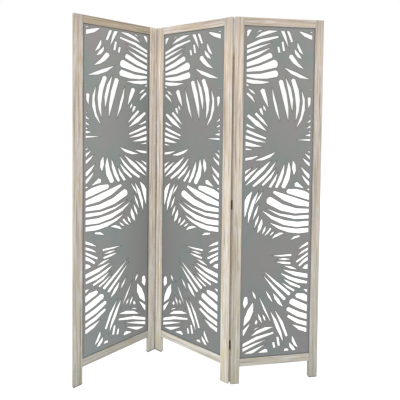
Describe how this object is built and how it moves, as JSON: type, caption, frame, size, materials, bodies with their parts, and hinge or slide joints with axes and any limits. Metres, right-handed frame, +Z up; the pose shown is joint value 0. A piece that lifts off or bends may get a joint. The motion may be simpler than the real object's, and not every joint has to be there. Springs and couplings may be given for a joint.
{
  "type": "folding screen",
  "caption": "Free-standing folding room screen: limed wood frames on butt hinges, holding thin grey boards pierced with long leaf-shaped slots, that fold flat against each other.",
  "frame": {"origin": "on the floor, under the middle of the box around the screen as it stands half unfolded", "axes": "+Z up, +X to the right along the screen, +Y away from the viewer"},
  "size_m": [1.1527, 0.2645, 1.7],
  "materials": {
    "limed_wood": "limed, matt, open grain",
    "grey_board": "matt grey paint on board",
    "hinge_leaf": "satin nickel plate",
    "hinge_pin": "satin nickel plate"
  },
  "bodies": {
    "middle_panel": {"middle_panel_left_stile": "limed_wood", "middle_panel_right_stile": "limed_wood", "middle_panel_top_rail": "limed_wood", "middle_panel_bottom_rail": "limed_wood", "middle_panel_fretwork_board": "grey_board", "left_fold_top_hinge_middle_leaf": "hinge_leaf", "left_fold_top_hinge_pin": "hinge_pin", "left_fold_centre_hinge_middle_leaf": "hinge_leaf", "left_fold_centre_hinge_pin": "hinge_pin", "left_fold_bottom_hinge_middle_leaf": "hinge_leaf", "left_fold_bottom_hinge_pin": "hinge_pin", "right_fold_top_hinge_middle_leaf": "hinge_leaf", "right_fold_top_hinge_pin": "hinge_pin", "right_fold_centre_hinge_middle_leaf": "hinge_leaf", "right_fold_centre_hinge_pin": "hinge_pin", "right_fold_bottom_hinge_middle_leaf": "hinge_leaf", "right_fold_bottom_hinge_pin": "hinge_pin"},
    "left_panel": {"left_panel_left_stile": "limed_wood", "left_panel_right_stile": "limed_wood", "left_panel_top_rail": "limed_wood", "left_panel_bottom_rail": "limed_wood", "left_panel_fretwork_board": "grey_board", "left_fold_top_hinge_left_leaf": "hinge_leaf", "left_fold_centre_hinge_left_leaf": "hinge_leaf", "left_fold_bottom_hinge_left_leaf": "hinge_leaf"},
    "right_panel": {"right_panel_left_stile": "limed_wood", "right_panel_right_stile": "limed_wood", "right_panel_top_rail": "limed_wood", "right_panel_bottom_rail": "limed_wood", "right_panel_fretwork_board": "grey_board", "right_fold_top_hinge_right_leaf": "hinge_leaf", "right_fold_centre_hinge_right_leaf": "hinge_leaf", "right_fold_bottom_hinge_right_leaf": "hinge_leaf"}
  },
  "joints": [
    {"name": "left_fold", "type": "hinge", "parent": "middle_panel", "child": "left_panel", "pos_m": [-0.22215, 0.11629, 0], "axis": [0, 0, 1], "range_deg": [-66.6, 113.4]},
    {"name": "right_fold", "type": "hinge", "parent": "middle_panel", "child": "right_panel", "pos_m": [0.15313, -0.08287, 0], "axis": [0, 0, 1], "range_deg": [-37.3, 142.7]}
  ]
}
